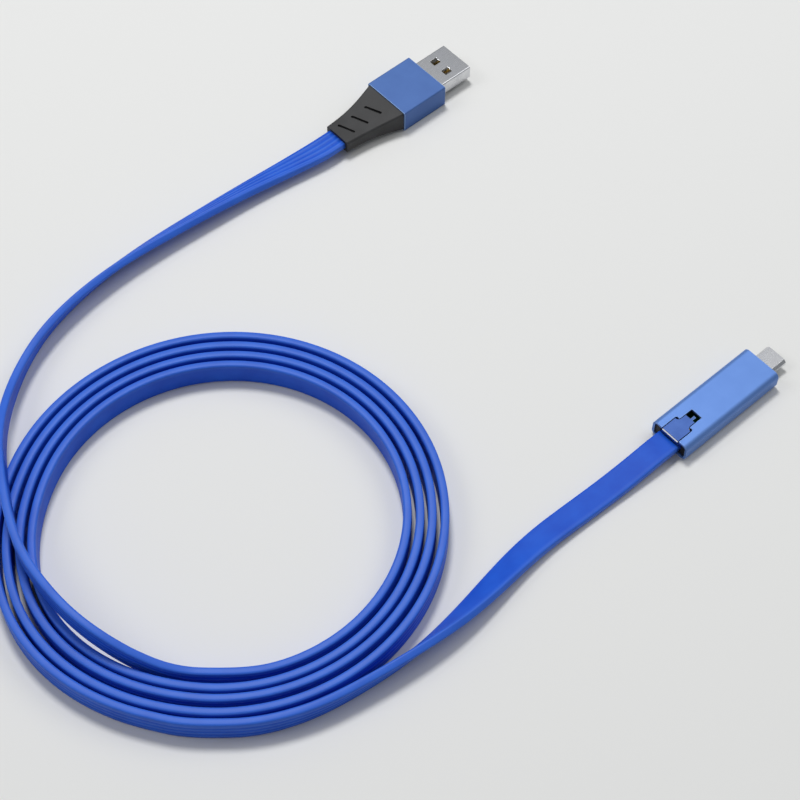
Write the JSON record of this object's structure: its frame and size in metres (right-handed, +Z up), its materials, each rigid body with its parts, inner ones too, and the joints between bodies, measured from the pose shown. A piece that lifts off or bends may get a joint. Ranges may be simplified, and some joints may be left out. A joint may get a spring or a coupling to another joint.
{
  "type": "charging cable",
  "caption": "Flat charging cable in a loose coil, with a type-A plug and a repairable connector that has a locking lever.",
  "frame": {"origin": "middle of the repairable connector's flat base, on the surface that the cable lies on", "axes": "+X along both plugs, out of the micro plug's mouth; +Y towards the type-A plug, across the coil; +Z up"},
  "size_m": [0.2109, 0.1507, 0.0149],
  "materials": {
    "cord": "satin",
    "blue_metal": "anodised satin",
    "lever_metal": "anodised satin",
    "black_plastic": "matt",
    "white_plastic": "matt",
    "plug_steel": "bright",
    "contact_metal": "plated",
    "copper": "stranded",
    "board": "lacquered",
    "board_part": "matt"
  },
  "bodies": {
    "cable": {"cord_lead_a": "cord", "cord_coil": "cord", "cord_lead_b": "cord", "a_sleeve": "blue_metal", "strain_relief": "black_plastic", "a_mould": "black_plastic", "a_shell": "plug_steel", "a_tongue": "white_plastic", "a_contacts": "contact_metal", "a_wires": "copper", "a_cord_end": "cord", "housing": "blue_metal", "carrier": "black_plastic", "nose_plate": "black_plastic", "lever_pin": "plug_steel", "piercing_contacts": "contact_metal", "circuit_board": "board", "board_parts": "board_part", "micro_shell": "plug_steel", "micro_tongue": "black_plastic", "micro_contacts": "contact_metal", "cord_end": "cord", "cord_cores": "copper"},
    "lever": {"lever": "lever_metal"},
    "presser": {"presser": "black_plastic"},
    "catch_left": {"catch_left": "plug_steel"},
    "catch_right": {"catch_right": "plug_steel"}
  },
  "joints": [
    {"name": "lever_hinge", "type": "hinge", "parent": "cable", "child": "lever", "pos_m": [-0.0109, 0, 0.00455], "axis": [0, 1, 0], "range_deg": [0, 85]},
    {"name": "presser_slide", "type": "slide", "parent": "cable", "child": "presser", "axis": [0, 0, 1], "range_m": [0, 0.0007]},
    {"name": "catch_left_flex", "type": "hinge", "parent": "cable", "child": "catch_left", "pos_m": [0.0126, 0.00245, 0.0024], "axis": [0, -1, 0], "range_deg": [0, 2], "stiffness_Nm_per_rad": 0.1},
    {"name": "catch_right_flex", "type": "hinge", "parent": "cable", "child": "catch_right", "pos_m": [0.0126, -0.00245, 0.0024], "axis": [0, -1, 0], "range_deg": [0, 2], "stiffness_Nm_per_rad": 0.1}
  ],
  "couplings": [
    {"joint": "lever_hinge", "follows": "presser_slide", "rad_per_m": 2119}
  ]
}
